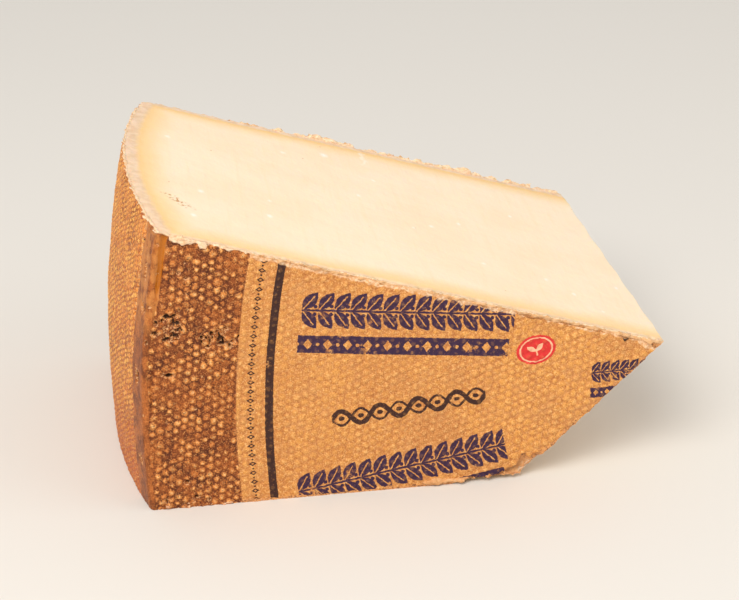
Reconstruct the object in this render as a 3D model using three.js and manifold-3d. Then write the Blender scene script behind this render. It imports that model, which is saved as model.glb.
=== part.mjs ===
// A wedge of hard mountain cheese with a printed label on one face.
// It is cut out of a whole wheel by three knife cuts and stands on the lower one.
// Millimetres, +Z up. The wheel's axis runs along Y and its labelled face looks along -Y.
// The heel, which is the wheel's rim, is at -X, and the tip is at +X.
// The origin is under the middle of the wedge, on the surface that it stands on.

import * as THREE from 'three'
import { mergeVertices } from 'three/addons/utils/BufferGeometryUtils.js'
import Module from 'manifold-3d'

const wasm = await Module()
wasm.setup()

// The wheel
const wheelRadius = 281.7 // from the axis to the rim, beside a flat face
const wheelHeight = 110 // from one flat face to the other
const heelBulge = 7.7 // how far the rim swells out between the faces
const labelEdgeRound = 1.2 // radius of the rim's edge beside the labelled face
const backEdgeRound = 4 // radius of the rim's edge beside the back face

// The three cuts
const axisAboveLowerCut = 15.9 // the lower cut passes this far under the wheel's axis
const heelHeight = 83 // lower cut to upper cut, at the rim of the labelled face
const upperCutSlope = 17.9 // degrees that the upper cut falls towards the tip
const labelledTopLength = 145 // rim to tip along the upper cut, on the labelled face
const backTopLength = 136 // the same on the back face
const labelledBaseLength = 103.5 // rim to tip along the lower cut, on the labelled face

// The label
const bareBand = 25.6 // bare rind from the rim to the label's round edge
const labelThickness = 0.5
const labelGap = 0.3 // between the label and the rind

// How finely the round shapes are divided
const rimSegments = 240 // around the whole wheel
const bulgeSteps = 18 // across the rim
const roundSteps = 4 // around one edge

// The wheel's axis, measured from the rim's lowest corner on the labelled face
const axisX = Math.sqrt(wheelRadius ** 2 - axisAboveLowerCut ** 2)
const axisZ = axisAboveLowerCut
const labelledFaceY = -wheelHeight / 2
const backFaceY = wheelHeight / 2

const cheeseMaterial = new THREE.MeshStandardMaterial({ color: 0xf3dfb4, roughness: 0.5, metalness: 0 })
const labelMaterial = new THREE.MeshStandardMaterial({ color: 0xc9985a, roughness: 0.6, metalness: 0 })

function toSolid(geometry) {
  const bare = geometry.clone()
  bare.deleteAttribute('normal')
  bare.deleteAttribute('uv')
  const merged = mergeVertices(bare, 1e-4)
  const vertProperties = new Float32Array(merged.attributes.position.array)
  const triVerts = new Uint32Array(merged.index.array)
  return new wasm.Manifold(new wasm.Mesh({ numProp: 3, vertProperties, triVerts }))
}

function toGeometry(solid) {
  const mesh = solid.getMesh()
  const geometry = new THREE.BufferGeometry()
  geometry.setAttribute('position', new THREE.BufferAttribute(new Float32Array(mesh.vertProperties), 3))
  geometry.setIndex(new THREE.BufferAttribute(new Uint32Array(mesh.triVerts), 1))
  geometry.computeVertexNormals()
  return geometry
}

// A round solid about the wheel's axis, from a profile of (radius, y) points.
function turned(profile) {
  const geometry = new THREE.LatheGeometry(profile, rimSegments)
  geometry.translate(axisX, 0, axisZ)
  return toSolid(geometry)
}

// How far a rounded edge draws the rim in, at a distance from its face.
function drawnIn(radius, distance) {
  if (distance >= radius) return 0
  return radius - Math.sqrt(radius ** 2 - (radius - distance) ** 2)
}

function rimRadius(y) {
  const across = y / backFaceY
  const swelling = heelBulge * (1 - across ** 2)
  const atLabel = drawnIn(labelEdgeRound, y - labelledFaceY)
  const atBack = drawnIn(backEdgeRound, backFaceY - y)
  return wheelRadius + swelling - atLabel - atBack
}

function rimStations() {
  const stations = []
  for (let i = 0; i < roundSteps; i++) {
    stations.push(labelledFaceY + labelEdgeRound * (1 - Math.cos((i / roundSteps) * Math.PI / 2)))
  }
  const from = labelledFaceY + labelEdgeRound
  const to = backFaceY - backEdgeRound
  for (let i = 0; i <= bulgeSteps; i++) {
    stations.push(from + ((to - from) * i) / bulgeSteps)
  }
  for (let i = 1; i <= roundSteps; i++) {
    stations.push(to + backEdgeRound * Math.sin((i / roundSteps) * Math.PI / 2))
  }
  return stations
}

function wheel() {
  const rim = rimStations().map((y) => new THREE.Vector2(rimRadius(y), y))
  const profile = [new THREE.Vector2(0, labelledFaceY), ...rim, new THREE.Vector2(0, backFaceY)]
  return turned(profile)
}

function wholeLabel() {
  const radius = wheelRadius - bareBand
  const inner = labelledFaceY - labelGap
  const outer = inner - labelThickness
  return turned([
    new THREE.Vector2(0, outer),
    new THREE.Vector2(radius, outer),
    new THREE.Vector2(radius, inner),
    new THREE.Vector2(0, inner),
  ])
}

// Everything on the outer side of the plane through three points.
// Seen from that side, the points run anticlockwise.
function beyondPlane(a, b, c) {
  const along = b.clone().sub(a).normalize()
  const out = along.clone().cross(c.clone().sub(a)).normalize()
  const across = out.clone().cross(along)
  const size = 6 * wheelRadius
  const block = new THREE.BoxGeometry(size, size, size)
  block.translate(0, 0, size / 2)
  block.applyMatrix4(new THREE.Matrix4().makeBasis(along, across, out).setPosition(a))
  return toSolid(block)
}

// A point on the upper cut, a distance along it from the rim of the labelled face.
function onUpperCut(distance, y) {
  const slope = THREE.MathUtils.degToRad(upperCutSlope)
  const rimX = axisX - Math.sqrt(wheelRadius ** 2 - (heelHeight - axisZ) ** 2)
  return new THREE.Vector3(rimX + distance * Math.cos(slope), y, heelHeight - distance * Math.sin(slope))
}

function knifeCuts() {
  const heelTop = onUpperCut(0, labelledFaceY)
  const labelledTip = onUpperCut(labelledTopLength, labelledFaceY)
  const backTip = onUpperCut(backTopLength, backFaceY)
  const heelBase = new THREE.Vector3(0, labelledFaceY, 0)
  const labelledToe = new THREE.Vector3(labelledBaseLength, labelledFaceY, 0)
  const backBase = new THREE.Vector3(0, backFaceY, 0)
  return [
    beyondPlane(heelBase, backBase, labelledToe), // lower
    beyondPlane(heelTop, labelledTip, backTip), // upper
    beyondPlane(labelledToe, backTip, labelledTip), // tip
  ]
}

const cuts = knifeCuts()

function cutOut(solid) {
  return cuts.reduce((left, cut) => left.subtract(cut), solid)
}

function piece(name, solid, material) {
  const mesh = new THREE.Mesh(toGeometry(cutOut(solid)), material)
  mesh.name = name
  return mesh
}

const group = new THREE.Group()
group.add(piece('cheese_wedge', wheel(), cheeseMaterial))
group.add(piece('face_label', wholeLabel(), labelMaterial))

// The wedge's box decides where the origin lies under it.
const box = new THREE.Box3().setFromObject(group)
const middle = box.getCenter(new THREE.Vector3())
group.position.set(-middle.x, -middle.y, -box.min.z)

export default group
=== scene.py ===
import math

import bpy
import numpy as np
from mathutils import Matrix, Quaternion, Vector


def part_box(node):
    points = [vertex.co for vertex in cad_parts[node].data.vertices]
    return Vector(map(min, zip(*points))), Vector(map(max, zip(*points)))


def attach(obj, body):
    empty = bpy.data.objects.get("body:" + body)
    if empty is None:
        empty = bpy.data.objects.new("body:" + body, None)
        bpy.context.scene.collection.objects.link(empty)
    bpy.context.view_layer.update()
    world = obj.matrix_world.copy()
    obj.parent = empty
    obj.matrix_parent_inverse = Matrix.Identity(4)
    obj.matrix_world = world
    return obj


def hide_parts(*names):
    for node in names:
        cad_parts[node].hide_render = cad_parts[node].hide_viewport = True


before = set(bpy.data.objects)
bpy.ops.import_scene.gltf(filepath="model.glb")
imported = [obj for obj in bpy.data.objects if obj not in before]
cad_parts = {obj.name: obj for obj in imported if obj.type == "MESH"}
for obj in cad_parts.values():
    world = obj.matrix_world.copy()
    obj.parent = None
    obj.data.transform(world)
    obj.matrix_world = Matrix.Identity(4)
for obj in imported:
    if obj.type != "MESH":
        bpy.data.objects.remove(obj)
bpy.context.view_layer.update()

mm = 0.001
wedgeLow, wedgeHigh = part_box("cheese_wedge")

# the wheel that the wedge was cut from
wheel = {
    "radius": 281.7 * mm,      # axis to rim, beside a flat face
    "bulge": 7.7 * mm,         # swelling of the heel at half height
    "axisUp": 15.9 * mm,       # wheel axis above the lower cut
    "frontRound": 1.2 * mm,    # edge of the rim beside the labelled face
    "backRound": 4.0 * mm,     # edge of the rim beside the back face
    "bareBand": 25.6 * mm,     # rim to the label
    "spokes": 900,
    "rings": 60,
}
axisX = wedgeLow.x + wheel["radius"] + wheel["bulge"]
axisZ = wedgeLow.z + wheel["axisUp"]
frontY, backY = wedgeLow.y, wedgeHigh.y
middleY = (frontY + backY) / 2
halfHeight = (backY - frontY) / 2


def drawnIn(rounding, distance):
    inside = np.clip(rounding - distance, 0, rounding)
    return rounding - np.sqrt(rounding ** 2 - inside ** 2)


def rimRadius(y):
    across = np.clip((y - middleY) / halfHeight, -1, 1)
    swelling = wheel["bulge"] * (1 - across ** 2)
    front = drawnIn(wheel["frontRound"], np.clip(y - frontY, 0, None))
    back = drawnIn(wheel["backRound"], np.clip(backY - y, 0, None))
    return wheel["radius"] + swelling - front - back


def cutPlane(direction):
    # the big flat facet of the CAD wedge that looks most nearly that way
    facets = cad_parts["cheese_wedge"].data.polygons
    best = max(facets, key=lambda f: f.area * max(0, f.normal.dot(direction)) ** 8)
    return best.center.copy(), best.normal.copy()


upperCut = cutPlane(Vector((0.3, 0, 0.95)))
lowerCut = cutPlane(Vector((0, 0, -1)))
tipCut = cutPlane(Vector((0.7, 0, -0.7)))


def insideCut(points, cut):
    return (np.array(cut[0]) - points) @ np.array(cut[1])


def depths(points):
    # how far inside each of the wedge's six surfaces every point lies
    fromAxis = np.hypot(points[:, 0] - axisX, points[:, 2] - axisZ)
    return {
        "heel": rimRadius(points[:, 1]) - fromAxis,
        "front": points[:, 1] - frontY,
        "back": backY - points[:, 1],
        "upper": insideCut(points, upperCut),
        "lower": insideCut(points, lowerCut),
        "tip": insideCut(points, tipCut),
    }


def onUpperCut(x, y):
    point, normal = upperCut
    return point.z - ((x - point.x) * normal.x + (y - point.y) * normal.y) / normal.z


def onTipCut(y, z):
    point, normal = tipCut
    return point.x - ((y - point.y) * normal.y + (z - point.z) * normal.z) / normal.x


def onHeel(y, z):
    return axisX - math.sqrt(rimRadius(np.array([y]))[0] ** 2 - (z - axisZ) ** 2)


def heelTopX(y):
    x = wedgeLow.x
    for _ in range(6):
        x = onHeel(y, onUpperCut(x, y))
    return x


def tipTopX(y):
    x = wedgeHigh.x
    for _ in range(20):
        x = onTipCut(y, onUpperCut(x, y)) * 0.5 + x * 0.5
    return x


# places on the labelled face are measured from here
faceLeft = axisX - wheel["radius"] + 0.45 * mm


def edgePlace(edge, t):
    # a point on one of the wedge's edges, t from 0 to 1 from the front or from the heel
    if edge == "heelTop":
        y = frontY + t * (backY - frontY)
        x = heelTopX(y)
        return Vector((x, y, onUpperCut(x, y)))
    y = frontY if edge.startswith("front") else backY
    if edge.endswith("Top"):
        x = heelTopX(y) + t * (tipTopX(y) - heelTopX(y))
        return Vector((x, y, onUpperCut(x, y)))
    start = onHeel(y, 0)
    return Vector((start + t * (onTipCut(y, 0) - start), y, 0))


def onlySelect(obj):
    if bpy.context.mode != "OBJECT":
        bpy.ops.object.mode_set(mode="OBJECT")
    bpy.ops.object.select_all(action="DESELECT")
    obj.select_set(True)
    bpy.context.view_layer.objects.active = obj


def readVectors(obj, name="co"):
    flat = np.empty(len(obj.data.vertices) * 3, np.float32)
    obj.data.vertices.foreach_get(name, flat)
    return flat.reshape(-1, 3).astype(float)


def writePoints(obj, points):
    obj.data.vertices.foreach_set("co", points.astype(np.float32).ravel())
    obj.data.update()


def storeOnPoints(obj, name, values):
    layer = obj.data.attributes.get(name) or obj.data.attributes.new(name, "FLOAT_VECTOR", "POINT")
    layer.data.foreach_set("vector", np.stack(values, axis=1).astype(np.float32).ravel())


def readFromPoints(obj, name):
    flat = np.empty(len(obj.data.vertices) * 3, np.float32)
    obj.data.attributes[name].data.foreach_get("vector", flat)
    return flat.reshape(-1, 3)


def applyModifiers(obj):
    onlySelect(obj)
    for name in [m.name for m in obj.modifiers]:
        bpy.ops.object.modifier_apply(modifier=name)


def dropIslands(obj):
    # crumbs that touch nothing are left out
    onlySelect(obj)
    bpy.ops.object.mode_set(mode="EDIT")
    bpy.ops.mesh.select_all(action="SELECT")
    bpy.ops.mesh.separate(type="LOOSE")
    bpy.ops.object.mode_set(mode="OBJECT")
    islands = sorted(bpy.context.selected_objects, key=lambda o: len(o.data.vertices))
    mesh = islands[-1].data
    for island in islands:
        if island != obj:
            bpy.data.objects.remove(island)
    obj.data = mesh
    onlySelect(obj)


def softNoise(points, size, seed):
    # a smooth random field from -1 to 1, with lumps of that size
    table = np.random.default_rng(seed).uniform(-1, 1, 32 ** 3)
    place = points / size
    cell = np.floor(place).astype(np.int64)
    part = place - cell
    part = part * part * (3 - 2 * part)
    low, high = cell % 32, (cell + 1) % 32
    total = np.zeros(len(points))
    for corner in np.ndindex(2, 2, 2):
        i, j, k = (np.where(c, high[:, n], low[:, n]) for n, c in enumerate(corner))
        wi, wj, wk = (part[:, n] if c else 1 - part[:, n] for n, c in enumerate(corner))
        total += wi * wj * wk * table[(i * 32 + j) * 32 + k]
    return total


def roughNoise(points, size, seed, layers=3):
    return sum(softNoise(points, size / 2 ** n, seed + n) / 1.7 ** n for n in range(layers))


def ease(low, high, value):
    t = np.clip((value - low) / (high - low), 0, 1)
    return t * t * (3 - 2 * t)


# the knobs that the pressing mats leave, on a triangular lattice
faceMat = {"pitch": 2.35 * mm, "turn": math.radians(22), "relief": 0.42 * mm, "wander": 0.45 * mm}
heelMat = {"pitch": 1.6 * mm, "turn": math.radians(31), "relief": 0.24 * mm, "wander": 0.5 * mm}
knobShape = {"foot": 0.52, "top": 0.14, "mixU": 1.9898, "mixV": 7.233, "mixAll": 97.585, "second": 7.31}


def latticePlace(along, up, mat):
    # a place in the mat's own frame, in pitches
    c, s = math.cos(mat["turn"]), math.sin(mat["turn"])
    return (c * along + s * up) / mat["pitch"], (c * up - s * along) / mat["pitch"]


def knobHeight(u, v):
    # the nearest knob over two square lattices, each knob with its own size and height
    root3 = math.sqrt(3)
    cells = [(np.floor(u + 0.5), np.floor(v / root3 + 0.5)),
             (np.floor(u) + 0.5, np.floor(v / root3) + 0.5)]
    reach = [np.hypot(u - a, v - b * root3) for a, b in cells]
    first = reach[0] < reach[1]
    cellU, cellV = (np.where(first, cells[0][n], cells[1][n]) for n in range(2))
    chance = np.sin(cellU * knobShape["mixU"] + cellV * knobShape["mixV"]) * knobShape["mixAll"] % 1
    size = 0.75 + 0.5 * chance
    tall = 0.4 + 0.6 * (chance * knobShape["second"] % 1)
    return tall * (1 - ease(knobShape["top"], knobShape["foot"], np.minimum(*reach) / size))


def matPlace(points, where):
    # lattice place of every point: on the flat faces from x and z, on the heel from y and the arc
    wander = [roughNoise(points, 4.4 * mm, 11 + 5 * n, 2) for n in range(2)]
    turned = np.arctan2(points[:, 2] - axisZ, axisX - points[:, 0])
    faceU, faceV = latticePlace(points[:, 0] + faceMat["wander"] * wander[0],
                                points[:, 2] + faceMat["wander"] * wander[1], faceMat)
    heelU, heelV = latticePlace(points[:, 1] + heelMat["wander"] * wander[0],
                                turned * wheel["radius"] + heelMat["wander"] * wander[1], heelMat)
    heelSide = where["heel"] < np.minimum(where["front"], where["back"])
    return np.where(heelSide, heelU, faceU), np.where(heelSide, heelV, faceV), heelSide


def cutWheel():
    bpy.ops.object.select_all(action="DESELECT")
    bpy.ops.mesh.primitive_cylinder_add(
        vertices=wheel["spokes"], radius=wheel["radius"], depth=2 * halfHeight,
        location=(axisX, middleY, axisZ), rotation=(math.pi / 2, 0, 0))
    blank = bpy.context.object
    blank.name = "cheese"
    bpy.ops.object.transform_apply(location=True, rotation=True, scale=True)
    bpy.ops.object.mode_set(mode="EDIT")
    bpy.ops.mesh.select_mode(type="EDGE")
    bpy.ops.mesh.select_all(action="DESELECT")
    bpy.ops.object.mode_set(mode="OBJECT")
    for edge in blank.data.edges:    # the straight edges across the rim
        a, b = (blank.data.vertices[i].co.y for i in edge.vertices)
        edge.select = abs(a - b) > halfHeight
    bpy.ops.object.mode_set(mode="EDIT")
    bpy.ops.mesh.subdivide(number_cuts=wheel["rings"])
    bpy.ops.object.mode_set(mode="OBJECT")
    points = readVectors(blank)
    across = (points[:, 1] - middleY) / halfHeight
    points[:, 1] = middleY + halfHeight * np.sin(across * math.pi / 2)    # rings closer near the faces
    grow = rimRadius(points[:, 1]) / wheel["radius"]
    points[:, 0] = axisX + (points[:, 0] - axisX) * grow
    points[:, 2] = axisZ + (points[:, 2] - axisZ) * grow
    writePoints(blank, points)
    bpy.ops.object.mode_set(mode="EDIT")
    for point, normal in (lowerCut, upperCut, tipCut):
        bpy.ops.mesh.select_all(action="SELECT")
        bpy.ops.mesh.bisect(plane_co=point, plane_no=normal, use_fill=True, clear_outer=True)
    bpy.ops.object.mode_set(mode="OBJECT")
    return blank


# torn rind along the edges: edge, stretch, how many, least and most size,
# length over width, height above the edge, mm
crumbRuns = [
    ("heelTop", 0.00, 0.95, 70, 0.24, 0.46, 2.0, -0.5),
    ("heelTop", 0.00, 0.14, 14, 0.35, 0.70, 1.6, -0.55),
    ("frontTop", 0.02, 0.08, 30, 0.50, 1.15, 1.8, -0.7),
    ("frontTop", 0.08, 0.30, 40, 0.25, 0.50, 2.0, -0.35),
    ("frontTop", 0.30, 0.95, 80, 0.22, 0.46, 2.4, -0.4),
    ("frontTop", 0.93, 0.985, 16, 0.35, 0.70, 1.6, -0.8),
    ("backTop", 0.03, 0.38, 40, 0.25, 0.50, 3.6, -0.35),
    ("backTop", 0.36, 0.50, 34, 0.45, 1.10, 1.8, 0.15),
    ("backTop", 0.48, 0.98, 80, 0.35, 0.65, 3.6, -0.05),
    ("backTop", 0.20, 0.96, 18, 0.28, 0.50, 1.8, 0.25),
    ("frontBase", 0.02, 0.30, 22, 0.30, 0.60, 1.6, 0.5),
    ("frontBase", 0.74, 0.985, 70, 0.35, 1.00, 1.5, 1.4),
]
crumbShape = {
    "seed": 7,
    "scatter": 0.32 * mm,     # how far they stray from the edge
    "uneven": 0.28,           # dents and lumps, as a part of the radius
    "twist": 0.35,            # how far they turn away from the edge, radians
}


def addCrumbs(blank):
    bpy.ops.object.select_all(action="DESELECT")
    bpy.ops.mesh.primitive_ico_sphere_add(subdivisions=2, radius=1)
    crumb = bpy.context.object
    shape = readVectors(crumb)
    faces = np.array([list(f.vertices) for f in crumb.data.polygons])
    bpy.data.objects.remove(crumb)
    chance = np.random.default_rng(crumbShape["seed"])
    points, corners = [], []
    for edge, start, end, count, small, large, longer, lift in crumbRuns:
        for _ in range(count):
            t = chance.uniform(start, end)
            middle = np.array(edgePlace(edge, t))
            ahead = np.array(edgePlace(edge, min(t + 0.01, 1)))
            along = Vector(ahead - np.array(edgePlace(edge, t - 0.01)))
            middle = middle + chance.normal(0, crumbShape["scatter"], 3) + np.array([0, 0, lift * mm])
            radius = mm * (small + (large - small) * chance.random() ** 2)
            sides = chance.uniform(0.7, 1.2, 3)
            stretch = radius * sides * np.array([longer * chance.uniform(0.6, 1.3), 1, 1])
            uneven = chance.uniform(-crumbShape["uneven"], crumbShape["uneven"], (len(shape), 1))
            lump = shape * (1 + uneven) * stretch
            twist = Quaternion(chance.normal(0, 1, 3), chance.normal(0, crumbShape["twist"]))
            turn = along.to_track_quat("X", "Z") @ twist
            corners.append(faces + len(points) * len(shape))
            points.append(middle + lump @ np.array(turn.to_matrix()).T)
    mesh = bpy.data.meshes.new("crumbs")
    mesh.from_pydata(np.concatenate(points).tolist(), [], np.concatenate(corners).tolist())
    crumbs = bpy.data.objects.new("crumbs", mesh)
    bpy.context.scene.collection.objects.link(crumbs)
    onlySelect(crumbs)
    blank.select_set(True)
    bpy.context.view_layer.objects.active = blank
    bpy.ops.object.join()


# clusters of pits in the flat rind: face, middle from the front corner and up, spread, how many,
# radius, depth, mm
pitFields = [
    ("front", 9.5, 54.5, 5.0, 40, 0.62, 1.5),
    ("front", 22.0, 51.5, 4.6, 30, 0.62, 1.4),
    ("front", 7.3, 40.5, 0.3, 2, 0.75, 1.9),
    ("front", 12.0, 2.6, 6.0, 9, 0.55, 1.2),
    ("front", 12.0, 69.0, 9.0, 12, 0.45, 0.8),
    ("front", 13.0, 28.0, 14.0, 9, 0.40, 0.7),
    ("back", 38.0, 40.0, 6.0, 30, 0.65, 1.4),
    ("back", 82.0, 22.0, 5.0, 22, 0.65, 1.3),
    ("back", 62.0, 35.0, 36.0, 30, 0.50, 1.0),
]
heelPits = [    # in the heel: across from the labelled face, up, height, width, depth, mm
    (4.2, 71.0, 4.2, 0.9, 2.0), (9.6, 66.0, 7.5, 0.9, 1.7), (3.4, 60.5, 2.0, 1.1, 1.8),
    (9.9, 77.5, 5.4, 0.9, 1.4), (9.4, 57.0, 4.6, 0.8, 1.2), (5.4, 39.5, 3.4, 1.2, 2.1),
    (4.4, 14.5, 2.0, 1.2, 1.8), (9.6, 45.5, 2.2, 1.0, 1.2), (38.0, 45.0, 2.4, 1.1, 1.0),
    (41.0, 38.0, 3.0, 0.9, 0.9), (66.0, 52.0, 3.0, 0.9, 1.0), (74.0, 22.0, 2.0, 1.1, 1.0),
    (90.0, 63.0, 2.4, 0.9, 1.1), (103.0, 37.0, 4.0, 1.0, 1.3), (101.5, 71.0, 3.2, 0.9, 1.3),
    (24.0, 20.0, 2.0, 1.1, 0.8),
]
# the split beside the front corner, mm
crack = {"fromRim": 1.1, "low": 63.0, "halfWidth": 0.8, "depth": 0.9}


def pitDepth(points, where):
    deep = np.zeros(len(points))
    chance = np.random.default_rng(21)
    for face, x, z, spread, count, radius, depth in pitFields:
        onFace = np.flatnonzero(where[face] < 1.2 * mm)
        flat = points[onFace][:, [0, 2]]
        ragged = 1 + 0.4 * softNoise(points[onFace], 0.8 * mm, 6)
        for _ in range(count):
            middle = np.array([faceLeft + x * mm, z * mm]) + chance.normal(0, spread / 2 * mm, 2)
            size = radius * mm * chance.uniform(0.5, 1.3)
            stretch = chance.uniform(0.6, 1.5)
            reach = np.hypot((flat[:, 0] - middle[0]) * stretch, (flat[:, 1] - middle[1]) / stretch) / size
            dent = depth * mm * chance.uniform(0.4, 1) * np.exp(-(reach * ragged) ** 3)
            deep[onFace] = np.maximum(deep[onFace], dent)
    heelward = np.flatnonzero(where["heel"] < 1.6 * mm)
    y, z = points[heelward, 1] - frontY, points[heelward, 2]
    ragged = [0.75 * mm * roughNoise(points[heelward], 1.7 * mm, 5 + 3 * n, 2) for n in range(2)]
    crumbling = ease(-0.35, 0.35, softNoise(points[heelward], 1.1 * mm, 14))
    for across, up, height, width, depth in heelPits:
        reach = np.hypot((y - across * mm + ragged[0]) / (width * mm),
                         (z - up * mm + ragged[1]) / (height / 1.6 * mm))
        dent = depth * mm * np.exp(-reach ** 3) * (0.3 + 0.7 * crumbling)
        deep[heelward] = np.maximum(deep[heelward], dent)
    return deep


def crackMask(points, where):
    z = points[:, 2] / mm
    away = where["heel"] / mm - crack["fromRim"] - 0.35 * softNoise(points, 6 * mm, 17)
    run = ease(crack["low"], crack["low"] + 5, z)
    width = crack["halfWidth"] * (0.35 + 0.65 * run)
    ends = ease(22, 34, z) * (0.35 + 0.65 * run)    # below, it goes on as a fine seam
    return ends * np.exp(-(away / width) ** 4) * (where["front"] < 1.2 * mm)


lipBand = {
    "width": 7.6 * mm, "end": 10.0 * mm,      # round the heel, from the labelled face
    "onFront": 1.3 * mm,                      # how far it turns on to that face, high up
    "widerFrom": 52, "widerTo": 64,           # the height where it begins to turn, mm
}


def lipMask(points, where):
    # the smooth band beside the labelled face, where the mould's hoop ended, and where it turns the corner
    waver = softNoise(points, 4 * mm, 31)
    roundHeel = 1 - ease(lipBand["width"], lipBand["end"], where["front"] + 0.6 * mm * waver)
    wider = lipBand["onFront"] * ease(lipBand["widerFrom"], lipBand["widerTo"], points[:, 2] / mm)
    roundFront = 1 - ease(0.0, 0.6 * mm, where["heel"] - wider + 0.3 * mm * waver)
    return np.where(where["heel"] < where["front"], roundHeel, roundFront)


# the crumbled stretch of the lower front edge, mm
tear = {"height": 5.2, "depth": 1.1, "rough": 1.0, "clear": 1.2}


def tornCorner(points):
    # from 0 to 1 in the crumbled stretch, which lies towards the tip
    x = (points[:, 0] - faceLeft) / mm
    z = points[:, 2] / mm + 0.9 * softNoise(points, 3 * mm, 41)
    rising, falling = ease(84, 104, x), 1 - ease(109, 114, x)
    height = 0.3 + tear["height"] * rising * falling
    return ease(1.5, 0.4, z / height) * ease(80, 90, x) * (1 - ease(111, 115, x)) \
        * ease(5.5 * mm, 1.5 * mm, points[:, 1] - frontY)


skin = {
    "voxel": 0.45 * mm,
    "triangles": 194000,
    "underLabel": 0.55 * mm,     # the rind lies this much lower under the label
    "waves": 0.28 * mm, "waveSize": 22 * mm,          # slow swelling of the flat faces
    "grain": 0.06 * mm, "grainSize": 1.3 * mm,        # fine unevenness of the rind
    "swell": 0.14, "swellSize": 26 * mm,              # of the cuts, the first in mm
    "crumbly": 0.05, "crumblySize": 1.1 * mm,         # of the cuts near the rind, the first in mm
    "broken": 0.40 * mm, "brokenSize": 1.9 * mm,      # of the edges between rind and cut
    "brokenLoss": 0.26 * mm,
    "softAngle": math.radians(38),
}


def faceWaves(points):
    return skin["waves"] * roughNoise(points, skin["waveSize"], 71, 2)


def faceRelief(points, u, v):
    patchy = 0.74 + 0.26 * softNoise(points, 9 * mm, 61)
    return faceMat["relief"] * (knobHeight(u, v) - 0.5) * patchy


def lieOnSurfaces(points, table, names):
    # away from edges and crumbs, lie exactly on the wheel's and the cuts' surfaces
    outwards = {"front": (0, -1, 0), "back": (0, 1, 0),
                "upper": upperCut[1], "lower": lowerCut[1], "tip": tipCut[1]}
    order = np.sort(np.abs(table), axis=0)
    nearest = np.argmin(np.abs(table), axis=0)
    calm = (order[0] < 0.35 * mm) & (order[1] > 0.8 * mm)
    for n, name in enumerate(names):
        mine = np.flatnonzero(calm & (nearest == n))
        if name == "heel":
            out = points[mine] - np.array([axisX, 0, axisZ])
            out[:, 1] = 0
            out /= np.linalg.norm(out, axis=1, keepdims=True)
        else:
            out = np.array(outwards[name])
        points[mine] += out * table[n, mine][:, None]
    return points


def shapeSkin(obj):
    points = readVectors(obj)
    where = depths(points)
    points = lieOnSurfaces(points, np.stack(list(where.values())), list(where))
    writePoints(obj, points)
    outward = readVectors(obj, "normal")
    where = depths(points)
    rindDepth = np.minimum(np.minimum(where["heel"], where["front"]), where["back"])
    cutDepth = np.minimum(np.minimum(where["upper"], where["lower"]), where["tip"])
    crumb = ease(0.12 * mm, 0.4 * mm, -np.minimum(rindDepth, cutDepth))
    onRind = ease(1.2 * mm, 0.3 * mm, rindDepth) * ease(0.0, 1.2 * mm, cutDepth)
    onCut = ease(1.0 * mm, 0.2 * mm, cutDepth) * ease(0.5 * mm, 2.5 * mm, rindDepth)
    fromAxis = np.hypot(points[:, 0] - axisX, points[:, 2] - axisZ)
    inLabel = wheel["radius"] - wheel["bareBand"] - fromAxis
    covered = ease(1.0 * mm, 0.2 * mm, where["front"]) * ease(0.0, 0.8 * mm, inLabel) \
        * ease(1.1 * mm, 2.4 * mm, cutDepth)
    u, v, heelSide = matPlace(points, where)
    smooth = lipMask(points, where)
    backLip = np.where(heelSide, ease(5 * mm, 2 * mm, where["back"]),
                       ease(3.0 * mm, 0.5 * mm, where["heel"]))
    backLip *= where["back"] < where["front"]
    quiet = np.clip(1 - 0.9 * smooth - 0.75 * backLip, 0, 1) * (1 - covered)
    weave = heelMat["relief"] * (knobHeight(u, v) - 0.5)
    lift = np.where(heelSide, weave, faceRelief(points, u, v)) * quiet
    lift += faceWaves(points) * (1 - 0.5 * smooth)
    lift += skin["grain"] * roughNoise(points, skin["grainSize"], 81, 2) * (1 - covered)
    pits = pitDepth(points, where)
    split = crackMask(points, where)
    lift -= pits + crack["depth"] * mm * split + skin["underLabel"] * covered
    move = lift * onRind
    move += onCut * skin["swell"] * mm * softNoise(points, skin["swellSize"], 91)
    # the cuts crumble beside the rind, more along the heel than along the front
    fromRind = np.minimum(np.minimum(where["heel"] * 0.7, where["front"] * 1.5), where["back"])
    crumbly = ease(1.0 * mm, 0.2 * mm, cutDepth) * ease(4.5 * mm, 2.5 * mm, fromRind)
    move += crumbly * skin["crumbly"] * mm * roughNoise(points, skin["crumblySize"], 121)
    # edges between rind and cut break unevenly
    edgeReach = np.hypot(np.clip(rindDepth, 0, None), np.clip(cutDepth, 0, None))
    ragged = ease(2.0 * mm, 0.2 * mm, edgeReach) * ease(-0.2 * mm, 1.2 * mm, points[:, 2])
    move += ragged * (skin["broken"] * roughNoise(points, skin["brokenSize"], 101) - skin["brokenLoss"])
    torn = tornCorner(points)
    move -= torn * mm * (tear["depth"] + tear["rough"] * roughNoise(points, 2.2 * mm, 111))
    points = points + outward * move[:, None]
    # the torn corner stands clear of the table
    points[:, 2] += torn * tear["clear"] * mm * ease(1.5 * mm, 0.0, points[:, 2])
    points[:, 2] = np.maximum(points[:, 2], 0)
    writePoints(obj, points)
    storeOnPoints(obj, "marks", [smooth, pits / mm, np.maximum(crumb, torn)])
    cutSide = (cutDepth < rindDepth).astype(float)
    storeOnPoints(obj, "sides", [cutSide, split, covered])


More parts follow.
